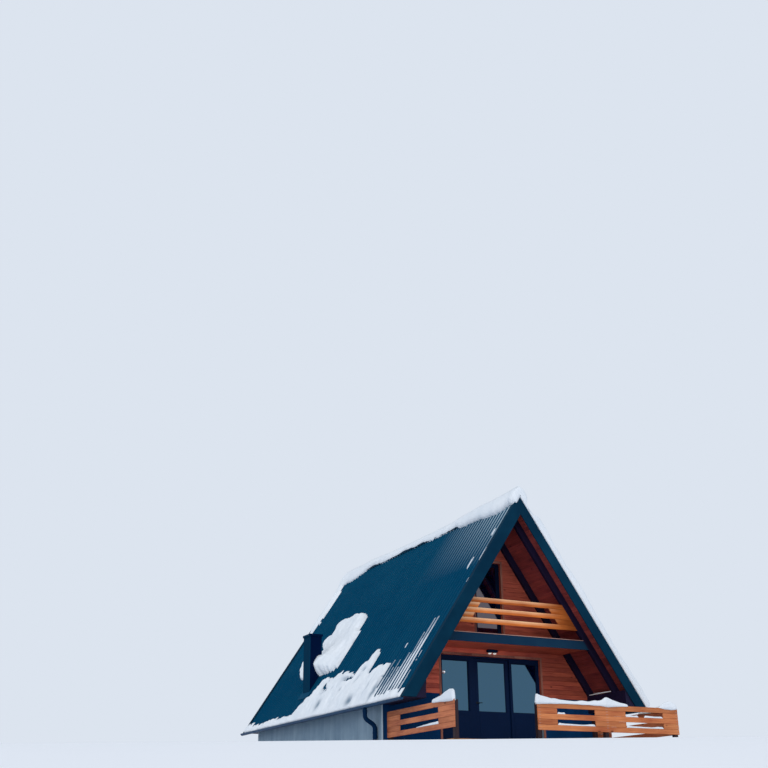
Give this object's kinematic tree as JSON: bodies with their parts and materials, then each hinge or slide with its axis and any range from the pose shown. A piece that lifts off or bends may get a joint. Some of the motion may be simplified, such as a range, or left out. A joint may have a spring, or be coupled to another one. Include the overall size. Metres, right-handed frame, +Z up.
{
  "type": "A-frame cabin",
  "caption": "Timber A-frame cabin with a steep ribbed metal roof, recessed boarded gable, balcony, railed terrace and a glazed door that opens.",
  "frame": {"origin": "on the ground under the centre of the whole plan, terrace and roof together", "axes": "front faces -Y, +X to the right seen from the front, +Z up; the roof is symmetric about X = 0"},
  "size_m": [6.6996, 11.532, 6.23],
  "materials": {
    "render": "painted cement render, matte",
    "plinth": "dark painted render, matte",
    "floor": "planed boards",
    "cladding": "stained softwood boards, satin",
    "soffit": "stained softwood boards, satin",
    "rafter": "dark stained sawn timber",
    "rail_board": "oiled softwood boards, satin",
    "trim": "stained planed batten",
    "roof_metal": "coated steel sheet, semi-matte",
    "frame": "dark foiled frame, satin",
    "glass": "clear float glass",
    "lamp": "black coated metal with frosted lamps",
    "handle": "brushed",
    "snow": "settled dry snow, matte"
  },
  "bodies": {
    "cabin": {"foundation_left": "render", "foundation_right": "render", "front_plinth_left": "plinth", "front_plinth_right": "plinth", "door_sill": "plinth", "back_plinth": "plinth", "ground_floor": "floor", "front_wall_left": "cladding", "front_wall_right": "cladding", "front_wall_upper": "cladding", "back_wall": "cladding", "upper_floor": "floor", "roof_deck_left": "soffit", "roof_deck_right": "soffit", "rafters": "rafter", "eave_beams": "rafter", "eave_soffits": "rafter", "roof_sheet_left": "roof_metal", "roof_sheet_right": "roof_metal", "ridge_cap": "roof_metal", "barge_front": "roof_metal", "barge_back": "roof_metal", "gutters": "roof_metal", "downpipes": "roof_metal", "chimney": "roof_metal", "balcony_floor": "cladding", "balcony_fascia": "roof_metal", "balcony_rail": "rail_board", "balcony_door_frame": "frame", "door_trims": "trim", "terrace_boards": "rail_board", "terrace_joists": "rafter", "terrace_bearers": "rafter", "rail_front": "rail_board", "rail_left": "rail_board", "rail_right": "rail_board", "rail_posts": "rafter", "door_frame": "frame", "side_lights": "frame", "side_light_glass": "glass", "wall_lamp": "lamp", "wall_box": "frame", "back_window_frames": "frame", "upper_glass": "glass", "roof_snow": "snow", "door_hinges": "handle"},
    "door": {"door_leaf": "frame", "door_glass": "glass", "door_handle": "handle"}
  },
  "joints": [
    {"name": "door_hinge", "type": "hinge", "parent": "cabin", "child": "door", "pos_m": [0.466, -2.581, 1.35], "axis": [0, 0, -1], "range_deg": [0, 95]}
  ]
}
